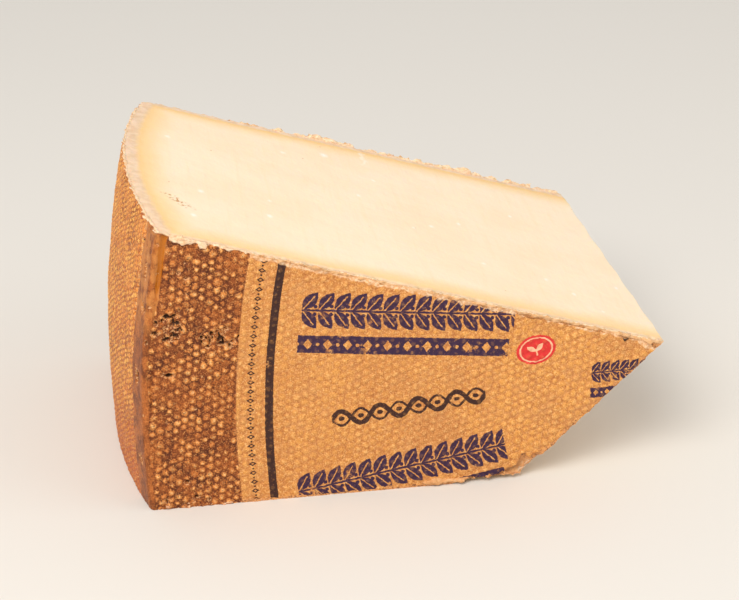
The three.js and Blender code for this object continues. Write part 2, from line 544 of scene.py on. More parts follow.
def makeCheese():
    cheese = cutWheel()
    addCrumbs(cheese)
    remesh = cheese.modifiers.new("skin", "REMESH")
    remesh.mode = "VOXEL"
    remesh.voxel_size = skin["voxel"]
    applyModifiers(cheese)
    dropIslands(cheese)
    print("cheese: remeshed to", len(cheese.data.polygons), "faces")
    shapeSkin(cheese)
    thin = cheese.modifiers.new("thin", "DECIMATE")
    thin.ratio = skin["triangles"] / (2 * len(cheese.data.polygons))
    applyModifiers(cheese)
    bpy.ops.object.shade_smooth_by_angle(angle=skin["softAngle"])
    # keeps the broad cuts from shading unevenly
    even = cheese.modifiers.new("even", "WEIGHTED_NORMAL")
    even.weight = 80
    even.keep_sharp = True
    applyModifiers(cheese)
    points = readVectors(cheese)
    storeOnPoints(cheese, "matPlace", matPlace(points, depths(points)))
    return cheese


film = {
    "step": 0.45 * mm,        # spacing of its mesh
    "proud": 0.04 * mm,       # its middle surface stands this far off the bare rind
    "thick": 0.16 * mm,
    "inset": 0.35 * mm,       # how far its edges stay inside the cuts
    "nearTip": 128 * mm,      # innermost radius it reaches
    "lowAngle": -8.5, "highAngle": 15.5,    # the sector it is spun through, degrees
    "follow": 0.85,           # how much of the knobs under it shows
    "pressed": 0.12 * mm,     # into the rind along the cuts
    "curl": 0.25 * mm, "curlSize": 7 * mm,        # along its round edge
    "wrinkle": 0.05 * mm, "wrinkleSize": 2.2 * mm,
    "softAngle": math.radians(50),
}


def drawBack(points, cut, amount, reach):
    # pull an edge of the film back from a cut, stretching what lies behind it
    depth = insideCut(points, cut)
    inward = -np.array(cut[1]) * [1, 0, 1]
    return points + inward * (amount * (1 - ease(0, reach, depth)))[:, None]


def trimToCuts(label):
    onlySelect(label)
    bpy.ops.object.mode_set(mode="EDIT")
    for point, normal in (lowerCut, upperCut, tipCut):
        bpy.ops.mesh.select_all(action="SELECT")
        bpy.ops.mesh.bisect(plane_co=point - normal * film["inset"], plane_no=normal, clear_outer=True)
    bpy.ops.mesh.select_all(action="SELECT")
    bpy.ops.mesh.remove_doubles(threshold=0.02 * mm)
    bpy.ops.mesh.normals_make_consistent(inside=False)
    bpy.ops.object.mode_set(mode="OBJECT")


def makeLabel():
    bpy.ops.object.select_all(action="DESELECT")
    bpy.ops.mesh.primitive_plane_add(size=1)
    label = bpy.context.object
    label.name = "label"
    outer = wheel["radius"] - wheel["bareBand"]
    y = frontY - film["proud"]
    bpy.ops.object.mode_set(mode="EDIT")
    bpy.ops.mesh.select_mode(type="VERT")
    bpy.ops.mesh.select_all(action="DESELECT")
    bpy.ops.object.mode_set(mode="OBJECT")
    for vertex in label.data.vertices[2:]:
        vertex.select = True
    bpy.ops.object.mode_set(mode="EDIT")
    bpy.ops.mesh.delete(type="VERT")
    bpy.ops.object.mode_set(mode="OBJECT")
    low, high = math.radians(film["lowAngle"]), math.radians(film["highAngle"])
    for vertex, radius in zip(label.data.vertices, (outer, film["nearTip"])):
        vertex.co = (axisX - radius * math.cos(low), y, axisZ + radius * math.sin(low))
    bpy.ops.object.mode_set(mode="EDIT")
    bpy.ops.mesh.select_mode(type="EDGE")
    pieces = (outer - film["nearTip"]) / film["step"]
    for _ in range(2):
        bpy.ops.mesh.select_all(action="SELECT")
        bpy.ops.mesh.subdivide(number_cuts=int(math.sqrt(pieces)))
    bpy.ops.mesh.select_all(action="SELECT")
    bpy.ops.mesh.spin(steps=int(outer * (high - low) / film["step"]), angle=low - high,
                      center=(axisX, y, axisZ), axis=(0, 1, 0))
    bpy.ops.object.mode_set(mode="OBJECT")
    trimToCuts(label)
    if sum(f.normal.y * f.area for f in label.data.polygons) > 0:
        label.data.flip_normals()
    points = readVectors(label)
    x = (points[:, 0] - faceLeft) / mm
    # frayed along the upper cut, more before the tip
    fringe = np.clip(0.35 + 0.6 * roughNoise(points * [1, 0, 0], 5 * mm, 121, 4), 0, None)
    fringe += 1.0 * ease(103, 108, x) * (1 - ease(124, 134, x)) + 2.2 * ease(139, 145, x)
    points = drawBack(points, upperCut, fringe * mm, 5 * mm)
    # along the lower cut, with the torn corner towards the tip
    fringe = np.clip(0.1 + 0.3 * roughNoise(points * [1, 0, 0], 3 * mm, 131, 3), 0, None)
    torn = ease(82, 92, x) * (1.2 + 4.4 * ease(96, 105, x)) * (1 - ease(110.5, 113, x))
    fringe += torn * (1 + 0.35 * roughNoise(points * [1, 0, 0], 2.4 * mm, 141, 3))
    points = drawBack(points, lowerCut, fringe * mm, 9 * mm)
    fringe = np.clip(0.15 + 0.3 * roughNoise(points, 3 * mm, 151, 3), 0, None)
    writePoints(label, drawBack(points, tipCut, fringe * mm, 4 * mm))
    trimToCuts(label)
    points = readVectors(label)
    where = depths(points)
    u, v, _ = matPlace(points, where)
    fromAxis = np.hypot(points[:, 0] - axisX, points[:, 2] - axisZ)
    edge = np.minimum(np.minimum(where["upper"], where["lower"]), where["tip"])
    pressed = film["pressed"] * ease(2.5 * mm, 0.4 * mm, edge)
    rim = ease(3 * mm, 0.3 * mm, outer - fromAxis)
    curl = film["curl"] * rim * softNoise(points, film["curlSize"], 161)
    wrinkle = film["wrinkle"] * roughNoise(points, film["wrinkleSize"], 171, 2)
    lift = faceWaves(points) + film["follow"] * faceRelief(points, u, v) + curl + wrinkle - pressed
    points[:, 1] -= lift
    writePoints(label, points)
    wall = label.modifiers.new("wall", "SOLIDIFY")
    wall.thickness = film["thick"]
    wall.offset = -1
    applyModifiers(label)
    bpy.ops.object.mode_set(mode="EDIT")
    bpy.ops.mesh.select_all(action="SELECT")
    bpy.ops.mesh.quads_convert_to_tris()
    bpy.ops.object.mode_set(mode="OBJECT")
    bpy.ops.object.shade_smooth_by_angle(angle=film["softAngle"])
    points = readVectors(label)
    storeOnPoints(label, "matPlace", matPlace(points, depths(points)))
    print("label:", len(label.data.polygons), "faces")
    return label


class NodeBench:
    # lays out nodes in one tree; most calls give back the socket that the node puts out
    def __init__(self, tree):
        self.tree = tree
        self.count = 0

    def put(self, kind, inputs, **settings):
        node = self.tree.nodes.new("ShaderNode" + kind)
        node.location = (180 * (self.count // 8), -160 * (self.count % 8))
        self.count += 1
        for name, value in settings.items():
            setattr(node, name, value)
        for key, value in inputs.items() if isinstance(inputs, dict) else enumerate(inputs):
            if isinstance(value, bpy.types.NodeSocket):
                self.tree.links.new(value, node.inputs[key])
            else:
                node.inputs[key].default_value = value
        return node

    def add(self, kind, inputs=(), output=0, **settings):
        return self.put(kind, inputs, **settings).outputs[output]

    def group(self, tree, **inputs):
        return self.put("Group", inputs, node_tree=tree).outputs

    def math(self, operation, *values):
        return self.add("Math", values, operation=operation)

    def chain(self, operation, values):
        total = values[0]
        for value in values[1:]:
            total = self.math(operation, total, value)
        return total

    def sum(self, *values):
        return self.chain("ADD", values)

    def product(self, *values):
        return self.chain("MULTIPLY", values)

    def lowest(self, *values):
        return self.chain("MINIMUM", values)

    def highest(self, *values):
        return self.chain("MAXIMUM", values)

    def less(self, value, other):
        return self.math("SUBTRACT", value, other)

    def inverse(self, value):
        return self.math("SUBTRACT", 1.0, value)

    def size(self, value):
        return self.math("ABSOLUTE", value)

    def vector(self, operation, *values, output=0):
        return self.add("VectorMath", values, output, operation=operation)

    def combine(self, x=0.0, y=0.0, z=0.0):
        return self.add("CombineXYZ", (x, y, z))

    def reach(self, x, y):
        return self.vector("LENGTH", self.combine(x, y), output=1)

    def parts(self, vector):
        return self.put("SeparateXYZ", (vector,)).outputs[:3]

    def fade(self, value, low, high):
        # 0 at low and 1 at high, smoothly; low may be the larger
        return self.add("MapRange", (value, low, high, 0.0, 1.0), interpolation_type="SMOOTHSTEP")

    def strip(self, value, low, high, soft):
        # 1 between low and high
        rising = self.fade(value, low - soft, low + soft)
        return self.product(rising, self.fade(value, high + soft, high - soft))

    def mix(self, factor, a, b):
        return self.add("Mix", {0: factor, 6: a, 7: b}, 2, data_type="RGBA")

    def tint(self, color, tone, *masks):
        return self.mix(self.product(*masks), color, tone)

    def noise(self, place, size, detail=2.0, roughness=0.5):
        return self.add("TexNoise", {"Vector": place, "Scale": 1 / size, "Detail": detail,
                                     "Roughness": roughness})

    def blot(self, place, size, low, high, detail=2.0):
        return self.fade(self.noise(place, size, detail), low, high)

    def sway(self, place, size, amount, detail=3.0):
        # noise about zero
        return self.product(self.less(self.noise(place, size, detail), 0.5), amount)

    def shake(self, place, scale, detail, amount):
        # a small shift in x and y, so that what is drawn is ragged
        colors = self.add("TexNoise", {"Vector": place, "Scale": scale, "Detail": detail}, 1)
        about = self.vector("SUBTRACT", colors, (0.5, 0.5, 0.5))
        return self.vector("MULTIPLY", about, (amount, amount, 0.0))


def newGroup(name, inputs, outputs):
    tree = bpy.data.node_groups.new(name, "ShaderNodeTree")
    kinds = {"vector": "NodeSocketVector", "color": "NodeSocketColor", "value": "NodeSocketFloat"}
    for label, kind in inputs:
        tree.interface.new_socket(name=label, in_out="INPUT", socket_type=kinds[kind])
    for label, kind in outputs:
        tree.interface.new_socket(name=label, in_out="OUTPUT", socket_type=kinds[kind])
    bench = NodeBench(tree)
    source = tree.nodes.new("NodeGroupInput")
    drain = tree.nodes.new("NodeGroupOutput")

    def putOut(**sockets):
        for label, socket in sockets.items():
            tree.links.new(socket, drain.inputs[label])
    return tree, bench, source.outputs, putOut


skinOutputs = [("Color", "color"), ("Height", "value"), ("Roughness", "value")]


def shade(red, green, blue):
    # a colour from its everyday 0 to 255 values
    parts = [c / 255 for c in (red, green, blue)]
    return (*[c / 12.92 if c < 0.04045 else ((c + 0.055) / 1.055) ** 2.4 for c in parts], 1.0)


def wheelPlaceGroup():
    # from a place in mm to how deep it lies under each surface of the wedge
    outputs = [(n, "value") for n in ("Heel", "Front", "Back", "Upper", "Lower", "Tip", "Along")]
    tree, b, source, putOut = newGroup("wheelPlace", [("Place", "vector")], outputs)
    x, y, z = b.parts(source["Place"])
    dx, dz = b.less(axisX / mm, x), b.less(z, axisZ / mm)
    fromAxis = b.reach(dx, dz)
    across = b.math("DIVIDE", b.less(y, middleY / mm), halfHeight / mm)
    swelling = b.product(b.inverse(b.product(across, across)), wheel["bulge"] / mm)
    heel = b.less(b.sum(swelling, wheel["radius"] / mm), fromAxis)
    cuts = []
    for point, normal in (upperCut, lowerCut, tipCut):
        offset = b.vector("SUBTRACT", tuple(point / mm), source["Place"])
        cuts.append(b.vector("DOT_PRODUCT", offset, tuple(normal), output=1))
    putOut(Heel=heel, Front=b.less(y, frontY / mm), Back=b.less(backY / mm, y),
           Upper=cuts[0], Lower=cuts[1], Tip=cuts[2],
           Along=b.product(b.math("ARCTAN2", dz, dx), wheel["radius"] / mm))
    return tree


def matKnobsGroup():
    # the pressing mat's knobs, the same as in the mesh
    tree, b, source, putOut = newGroup("matKnobs", [("Place", "vector"), ("Blur", "value")],
                                       [("Knob", "value"), ("Chance", "value"), ("Near", "value")])
    u, v, _ = b.parts(source["Place"])
    squashed = b.combine(u, b.product(v, 1 / math.sqrt(3)), 0.0)
    square = b.vector("FLOOR", b.vector("ADD", squashed, (0.5, 0.5, 0.0)))
    between = b.vector("ADD", b.vector("FLOOR", squashed), (0.5, 0.5, 0.0))
    reach = []
    for cell in (square, between):
        offset = b.vector("MULTIPLY", b.vector("SUBTRACT", squashed, cell), (1.0, math.sqrt(3), 0.0))
        reach.append(b.vector("LENGTH", offset, output=1))
    nearer = b.math("LESS_THAN", reach[0], reach[1])
    cell = b.add("Mix", {0: nearer, 4: between, 5: square}, 1, data_type="VECTOR")
    swing = b.vector("DOT_PRODUCT", cell, (knobShape["mixU"], knobShape["mixV"], 0.0), output=1)
    chance = b.math("FRACT", b.product(b.math("SINE", swing), knobShape["mixAll"]))
    size = b.sum(b.product(chance, 0.5), 0.75)
    second = b.math("FRACT", b.product(chance, knobShape["second"]))
    near = b.math("DIVIDE", b.lowest(*reach), size)
    top = b.less(knobShape["top"], b.product(source["Blur"], 0.1))
    knob = b.inverse(b.fade(near, top, knobShape["foot"]))
    putOut(Knob=b.product(knob, b.sum(b.product(second, 0.6), 0.4)), Chance=second, Near=near)
    return tree


brokenTones = {
    "pale": shade(250, 222, 188), "tan": shade(230, 184, 140), "low": shade(206, 138, 96),
    "speck": shade(190, 128, 84), "besideFilm": shade(216, 156, 88),
}


def brokenGroup():
    # pale crumbly stuff wherever rind has been cut or torn
    values = [(n, "value") for n in ("Upper", "Lower", "Tip", "Crumb", "Wider")]
    tree, b, source, putOut = newGroup("brokenEdge", [("Place", "vector")] + values,
                                       [("Mask", "value"), ("Color", "color")])
    place = source["Place"]
    ragged = b.sum(b.sway(place, 2.6, 2.4), 0.4)
    upper = b.fade(b.less(source["Upper"], b.sum(ragged, source["Wider"])), 0.22, -0.12)
    low = b.sum(b.sway(place, 2.0, 2.4), -0.55)
    lower = b.fade(b.less(b.lowest(source["Lower"], source["Tip"]), low), 0.2, -0.1)
    crumb = b.fade(source["Crumb"], 0.25, 0.6)
    tone = b.mix(b.blot(place, 1.1, 0.35, 0.7, 3.0), brokenTones["pale"], brokenTones["tan"])
    nearTable = b.product(b.fade(b.parts(place)[2], 10.0, 6.0), b.blot(place, 1.3, 0.3, 0.55, 3.0))
    tone = b.tint(tone, brokenTones["low"], nearTable, 0.75)
    tone = b.tint(tone, brokenTones["speck"], b.blot(place, 0.5, 0.62, 0.78), 0.4)
    tone = b.tint(tone, brokenTones["besideFilm"], b.fade(source["Wider"], 0.2, 0.6), 0.6)
    putOut(Mask=b.highest(upper, lower, crumb), Color=tone)
    return tree


rindTones = {
    "ground": shade(92, 38, 12), "groundPale": shade(130, 63, 22), "veil": shade(180, 100, 38),
    # the palest knob tone is a painted highlight on the knob tops
    "knob": shade(196, 106, 40), "knobPale": shade(236, 154, 76), "knobTop": shade(252, 200, 132),
    "patch": shade(172, 92, 34), "underFilm": shade(206, 142, 88),
    "heelGround": shade(188, 90, 24), "heelGroundDark": shade(146, 66, 18),
    "heelKnob": shade(234, 138, 46), "heelKnobPale": shade(255, 192, 98),
    "heelStreak": shade(149, 75, 30), "heelFleck": shade(254, 190, 104),
    # the lowest heel tone is painted red bounce light from the cloth below
    "heelHigh": shade(240, 155, 72), "heelPatch": shade(150, 74, 24), "heelRedBounce": shade(184, 78, 26),
    "gritDark": shade(64, 28, 10), "heelGritDark": shade(126, 62, 20),
    "gritPale": shade(236, 168, 96), "heelGritPale": shade(255, 208, 136),
    "lipDark": shade(112, 54, 18), "lip": shade(160, 86, 34), "lipPatch": shade(196, 112, 48),
    "lipGritDark": shade(84, 40, 16), "lipGritPale": shade(226, 150, 80), "lipHigh": shade(206, 134, 66),
    # the pit tone is painted shade inside the pits
    "split": shade(182, 104, 16), "pitEdge": shade(226, 170, 116), "pit": shade(62, 36, 20),
    "speck": shade(90, 52, 30),
}


def rindGroup(parts):
    # the colour and relief of the brown rind, on the flat faces and round the heel
    tone = rindTones
    inputs = [(n, "vector") for n in ("Place", "Mat", "Marks", "Sides")]
    tree, b, source, putOut = newGroup("rindSkin", inputs, skinOutputs)
    place = source["Place"]
    deep = b.group(parts["wheelPlace"], Place=place)
    lip, pit, crumb = b.parts(source["Marks"])
    split = b.parts(source["Sides"])[1]
    z = b.parts(place)[2]
    side = b.parts(source["Mat"])[2]
    frayed = b.vector("ADD", source["Mat"], b.shake(place, 1.0, 4.0, 0.62))
    knobs = b.group(parts["matKnobs"], Place=frayed, Blur=0.0)
    # flat faces: gold knobs on a dark ground
    dark = b.mix(b.blot(place, 5.0, 0.36, 0.64, 3.0), tone["ground"], tone["groundPale"])
    veil = b.product(b.blot(place, 7.0, 0.42, 0.62, 3.0), b.blot(place, 0.8, 0.38, 0.6, 3.0))
    ground = b.tint(dark, tone["veil"], veil, 0.55)
    gold = b.mix(knobs["Chance"], tone["knob"], tone["knobPale"])
    # painted highlight on the middle of each knob's top
    gold = b.tint(gold, tone["knobTop"], b.fade(knobs["Near"], 0.24, 0.06), knobs["Chance"])
    dot = b.product(b.fade(knobs["Near"], 0.44, 0.22), b.fade(knobs["Chance"], -0.1, 0.3),
                    b.sum(0.45, b.product(b.blot(place, 1.5, 0.3, 0.6, 2.0), 0.55)))
    bare = b.mix(dot, ground, gold)
    bare = b.tint(bare, tone["patch"], b.blot(place, 14.0, 0.45, 0.72, 2.0), 0.35)
    # under the film and its torn edge the rind is paler
    underFilm = b.fade(deep["Heel"], 25.2, 26.0)
    bare = b.tint(bare, tone["underFilm"], underFilm, b.fade(deep["Front"], 3.0, 2.0))
    # the heel: finer, paler
    heelGround = b.mix(b.blot(place, 9.0, 0.38, 0.64, 3.0), tone["heelGround"], tone["heelGroundDark"])
    heelTop = b.mix(knobs["Chance"], tone["heelKnob"], tone["heelKnobPale"])
    heelColor = b.mix(b.fade(knobs["Near"], 0.5, 0.22), heelGround, heelTop)
    streaky = b.noise(b.vector("MULTIPLY", place, (0.3, 1.0, 0.3)), 0.8, 3.0)
    heelColor = b.tint(heelColor, tone["heelStreak"], b.fade(streaky, 0.54, 0.68), 0.6)
    heelColor = b.tint(heelColor, tone["heelFleck"], b.blot(place, 0.7, 0.6, 0.72, 3.0), 0.5)
    upward = b.fade(z, 20.0, 75.0)
    heelColor = b.tint(heelColor, tone["heelHigh"], upward, b.blot(place, 5.0, 0.4, 0.6), 0.45)
    heelColor = b.tint(heelColor, tone["heelPatch"], b.blot(place, 2.0, 0.46, 0.62, 4.0), 0.28)
    # painted red light bounced up from the cloth: darker and redder towards the table
    heelColor = b.tint(heelColor, tone["heelRedBounce"], b.fade(z, 34.0, 3.0), 0.65)
    color = b.mix(side, bare, heelColor)
    # fine grit over both
    grit = b.noise(place, 0.42, 4.0, 0.7)
    gritDark = b.mix(side, tone["gritDark"], tone["heelGritDark"])
    gritPale = b.mix(side, tone["gritPale"], tone["heelGritPale"])
    color = b.tint(color, gritDark, b.fade(grit, 0.52, 0.64), 0.85)
    color = b.tint(color, gritPale, b.fade(grit, 0.46, 0.34), 0.7)
    # the smooth lip, brushed along the rim
    brushed = b.noise(b.vector("MULTIPLY", place, (1.0, 1.0, 0.3)), 0.9, 4.0)
    lipColor = b.mix(b.fade(brushed, 0.34, 0.68), tone["lipDark"], tone["lip"])
    lipColor = b.tint(lipColor, tone["lipPatch"], b.blot(place, 5.0, 0.46, 0.6, 4.0), 0.6)
    lipColor = b.tint(lipColor, tone["lipGritDark"], b.fade(grit, 0.53, 0.64), 0.7)
    lipColor = b.tint(lipColor, tone["lipGritPale"], b.fade(grit, 0.45, 0.34), 0.6)
    lipColor = b.tint(lipColor, tone["lipHigh"], b.fade(z, 50.0, 62.0),
                      b.blot(place, 3.0, 0.36, 0.56, 3.0), 0.7)
    color = b.mix(b.fade(lip, 0.25, 0.75), color, lipColor)
    color = b.tint(color, tone["split"], b.fade(split, 0.3, 0.75), 0.85)
    # pits get painted shade inside, darker with depth, with pale flecks about them
    fleck = b.product(b.fade(pit, 0.04, 0.16), b.blot(place, 0.5, 0.46, 0.58, 2.0))
    color = b.tint(color, tone["pitEdge"], fleck, 0.85)
    color = b.mix(b.fade(b.sum(pit, b.sway(place, 0.5, 2.2)), 0.55, 1.05), color, tone["pit"])
    color = b.tint(color, tone["speck"], b.blot(place, 0.35, 0.66, 0.76), 0.6)
    broken = b.group(parts["brokenEdge"], Place=place, Upper=deep["Upper"], Lower=deep["Lower"],
                     Tip=deep["Tip"], Crumb=crumb, Wider=b.product(underFilm, 0.75))
    color = b.mix(broken["Mask"], color, broken["Color"])
    bumps = b.product(knobs["Knob"], b.inverse(lip), b.less(0.2, b.product(side, 0.06)))
    grain = b.product(b.noise(place, 0.35, 3.0, 0.6), 0.10)
    height = b.less(b.sum(bumps, grain), b.product(broken["Mask"], b.noise(place, 0.6, 3.0), -0.25))
    rough = b.sum(0.44, b.product(b.noise(place, 1.2), 0.16), b.product(broken["Mask"], 0.2))
    rough = b.less(rough, b.product(b.fade(split, 0.3, 0.7), 0.28))
    putOut(Color=color, Height=height, Roughness=b.sum(rough, b.product(b.fade(pit, 0.2, 0.6), 0.2)))
    return tree


# pale crystals in the cut paste: along the upper cut and across from the labelled face, radius, mm
crystals = [
    (55, 95.5, 1.5), (41.5, 89.5, 1.0), (5.5, 80.5, 1.0), (69, 82, 0.8), (32.5, 31.5, 1.1), (33.5, 44, 0.8),
    (13, 39.5, 1.2), (83, 52.5, 1.0), (77, 48, 0.7), (92.5, 60, 0.9), (62.5, 65.5, 0.8), (9.8, 19, 1.1),
    (121, 22, 0.9), (136.5, 34.5, 0.8), (111.5, 77, 0.8), (114, 29, 0.9), (95.5, 31, 0.7), (128, 13, 0.7),
]


pasteTones = {
    "cream": shade(254, 231, 202), "creamDeep": shade(254, 227, 195),
    "yellow": shade(250, 212, 156), "amber": shade(240, 198, 130),
    "buff": shade(240, 212, 186), "buffDark": shade(224, 190, 156), "rindLine": shade(190, 130, 84),
    "crystal": shade(255, 250, 238), "streak": shade(246, 216, 170), "scratch": shade(255, 248, 236),
    "smear": shade(192, 122, 22), "speck": shade(198, 132, 74),
}


def pasteGroup(parts):
    # the cut paste: creamy inside, yellow towards the rind, then the rind's own grey-buff section
    tone = pasteTones
    inputs = [("Place", "vector"), ("Marks", "vector")]
    tree, b, source, putOut = newGroup("cutPaste", inputs, skinOutputs)
    place = source["Place"]
    deep = b.group(parts["wheelPlace"], Place=place)
    nearest = b.lowest(deep["Heel"], deep["Front"], deep["Back"])
    crumb = b.product(b.parts(source["Marks"])[2], b.fade(nearest, 1.3, 0.8))
    drift = b.sway(place, 14.0, 5.0)
    fine = b.sway(place, 3.0, 2.0)
    cream = b.mix(b.blot(place, 24.0, 0.35, 0.65), tone["cream"], tone["creamDeep"])
    # how far in each layer goes under the heel, the front and the back: whole, gone, amount, mm
    yellow = b.highest(b.product(b.fade(b.sum(deep["Heel"], drift), 15.0, 5.5), 1.0),
                       b.product(b.fade(b.sum(deep["Front"], drift), 11.5, 2.5), 1.0),
                       b.product(b.fade(b.sum(deep["Back"], drift), 13.0, 4.0), 0.9))
    color = b.mix(yellow, cream, tone["yellow"])
    amber = b.highest(b.product(b.fade(b.sum(deep["Back"], fine), 7.0, 3.6), 0.85),
                      b.product(b.fade(b.sum(deep["Heel"], fine), 7.2, 4.8), 0.5),
                      b.product(b.fade(b.sum(deep["Front"], fine), 3.6, 1.6), 0.5))
    color = b.mix(amber, color, tone["amber"])
    buff = b.mix(b.blot(place, 2.6, 0.3, 0.7, 5.0), tone["buff"], tone["buffDark"])
    crust = b.highest(b.fade(b.sum(deep["Heel"], fine), 5.2, 3.2),
                      b.fade(b.sum(deep["Back"], fine), 4.2, 2.4),
                      b.product(b.fade(b.sum(deep["Front"], b.product(fine, 0.6)), 2.6, 1.2), 0.8))
    color = b.tint(color, buff, crust, 0.9)
    color = b.tint(color, tone["rindLine"], b.fade(nearest, 1.3, 0.5),
                   b.blot(place, 1.0, 0.5, 0.66, 3.0), 0.6)
    # crystals, on the upper cut in their places and elsewhere scattered
    x, y, _ = b.parts(place)
    along = b.product(b.less(x, heelTopX(frontY) / mm), 1 / upperCut[1].z)
    across = b.less(y, frontY / mm)
    onTop = b.fade(deep["Upper"], 1.5, 1.0)
    flat = b.combine(along, b.product(across, 0.7))
    frayed = b.vector("ADD", flat, b.shake(place, 0.9, 2.0, 0.9))
    white = 0.0
    for s, t, radius in crystals:
        reach = b.vector("DISTANCE", frayed, (s, 0.7 * t, 0.0), output=1)
        white = b.highest(white, b.product(b.fade(reach, radius * 1.2, 0.0), 0.5 + 0.3 * radius))
    white = b.product(white, onTop)
    scattered = b.add("TexVoronoi", {"Vector": place, "Scale": 1 / 13.0, "Randomness": 1.0})
    white = b.highest(white, b.product(b.fade(scattered, 0.075, 0.03), b.inverse(onTop), 0.8))
    color = b.mix(white, color, tone["crystal"])
    # the knife's streaks and one scratch
    streak = b.noise(b.vector("MULTIPLY", place, (1.0, 0.06, 1.0)), 1.6, 3.0)
    color = b.tint(color, tone["streak"], b.fade(streak, 0.52, 0.72), 0.16)
    scratchLine = b.size(b.sum(b.less(along, 68.0), b.sway(place, 3.0, 6.0)))
    scratch = b.product(b.fade(scratchLine, 0.9, 0.1), b.fade(across, 92.0, 97.0),
                        b.fade(across, 107.0, 104.0), onTop)
    color = b.tint(color, tone["scratch"], scratch, 0.45)
    # a smear of brown rind, and rare brown specks
    smearLine = b.size(b.sum(b.less(along, 6.0), b.product(b.less(across, 27.5), 0.75)))
    smear = b.product(b.fade(smearLine, 2.8, 0.6), b.fade(across, 22.5, 24.0), b.fade(across, 32.5, 31.0),
                      b.blot(place, 1.0, 0.5, 0.58, 4.0), onTop)
    color = b.tint(color, tone["smear"], smear, 0.8)
    specks = b.put("TexVoronoi", {"Vector": place, "Scale": 1 / 7.0, "Randomness": 1.0}).outputs
    rare = b.math("GREATER_THAN", b.parts(specks[1])[0], 0.82)
    color = b.tint(color, tone["speck"], b.fade(specks[0], 0.055, 0.02), rare, 0.7)
    broken = b.group(parts["brokenEdge"], Place=place, Upper=9.0, Lower=9.0, Tip=9.0, Crumb=crumb,
                     Wider=0.0)
    nearRind = b.fade(b.less(nearest, b.product(b.noise(place, 1.8, 3.0), 1.6)), 0.25, -0.15)
    loose = b.highest(broken["Mask"], nearRind)
    color = b.tint(color, broken["Color"], loose, 0.85)
    height = b.sum(b.product(b.noise(place, 0.8, 3.0), 0.05), b.product(streak, 0.05),
                   b.product(b.noise(place, 5.0, 2.0), 0.25),
                   b.product(loose, b.noise(place, 0.5, 3.0), 0.35))
    rough = b.sum(0.42, b.product(b.noise(place, 4.0), 0.14), b.product(loose, 0.2))
    putOut(Color=color, Height=height, Roughness=rough)
    return tree


def turnedPlace(b, face, x, z, angle, size):
    # place in a figure's own frame: along and up from its lower left corner, in its heights
    px, pz, _ = b.parts(face)
    px, pz = b.less(px, x), b.less(pz, z)
    c, s = math.cos(math.radians(angle)) / size, math.sin(math.radians(angle)) / size
    return b.sum(b.product(px, c), b.product(pz, s)), b.less(b.product(pz, c), b.product(px, s))


def figureGroup(name):
    figure = [(n, "value") for n in ("Along", "Up", "Length")]
    tree, b, source, putOut = newGroup(name, figure, [("Ink", "value")])
    return tree, b, source["Along"], source["Up"], source["Length"], putOut


# a branch of paired leaves with berries, in its own heights
branch = {"pitch": 0.42, "lean": math.radians(52), "leafLength": 0.31, "leafWidth": 0.165}


def leafBranchGroup():
    tree, b, along, up, length, putOut = figureGroup("leafBranch")
    cell = b.product(b.less(b.math("FRACT", b.product(along, 1 / branch["pitch"])), 0.5), branch["pitch"])
    half = b.size(b.less(up, 0.5))
    rise = b.less(half, 0.255)
    c, s = math.cos(branch["lean"]), math.sin(branch["lean"])
    lengthwise = b.sum(b.product(cell, c), b.product(rise, s))
    crosswise = b.size(b.less(b.product(rise, c), b.product(cell, s)))
    leaf = b.sum(b.product(crosswise, 1 / branch["leafWidth"]),
                 b.product(lengthwise, lengthwise, 1 / branch["leafLength"] ** 2))
    vein = b.fade(crosswise, 0.010, 0.020)
    ink = b.product(b.fade(leaf, 1.06, 0.94), b.highest(vein, b.fade(lengthwise, 0.16, 0.2)))
    berry = b.reach(b.less(cell, 0.14), b.less(half, 0.11))
    ink = b.highest(ink, b.fade(half, 0.036, 0.024), b.fade(berry, 0.058, 0.046))
    ends = b.fade(along, -0.01, 0.01), b.fade(b.less(along, length), 0.01, -0.01)
    putOut(Ink=b.product(ink, *ends))
    return tree


# a solid bar with pale diamonds and dots along it, in its own heights
bar = {"pitch": 1.06, "halfLength": 0.24, "halfHeight": 0.30}


def diamondBarGroup():
    tree, b, along, up, length, putOut = figureGroup("diamondBar")
    cell = b.product(b.less(b.math("FRACT", b.product(along, 1 / bar["pitch"])), 0.5), bar["pitch"])
    side = b.size(cell)
    rise = b.size(b.less(up, 0.5))
    diamond = b.sum(b.product(side, 1 / bar["halfLength"]), b.product(rise, 1 / bar["halfHeight"]))
    dot = b.reach(b.less(side, bar["pitch"] / 2), rise)
    ink = b.product(b.fade(diamond, 0.95, 1.08), b.fade(dot, 0.085, 0.11))
    ends = b.fade(along, -0.02, 0.02), b.fade(b.less(along, length), 0.02, -0.02)
    putOut(Ink=b.product(ink, b.strip(up, 0.0, 1.0, 0.02), *ends))
    return tree


# the film's printed figures: lower left corner from the face's left edge and up, tilt, height,
# length, mm
branches = [(44.3, 51.7, -6.3, 10.6, 59.0), (42.1, -3.4, 9.1, 10.4, 59.4), (124.6, 27.6, 0.0, 6.4, 40.0)]
bars = [(43.0, 44.5, -6.4, 5.2, 58.6), (42.0, -10.2, 9.1, 4.9, 59.0), (124.2, 23.2, 0.0, 3.0, 40.0)]
braid = {"x": 51.7, "z": 23.1, "tilt": 5.4, "length": 43.2, "wave": 10.8, "swing": 2.15,
         "thick": 0.72, "thin": 0.36}
seal = {"x": 109.2, "z": 39.2, "tilt": 13.0, "halfLength": 5.6, "halfHeight": 4.3}
stripe = {"outer": 33.5, "inner": 35.75, "marksAt": 29.5, "marksPitch": 3.1}    # in from the rim


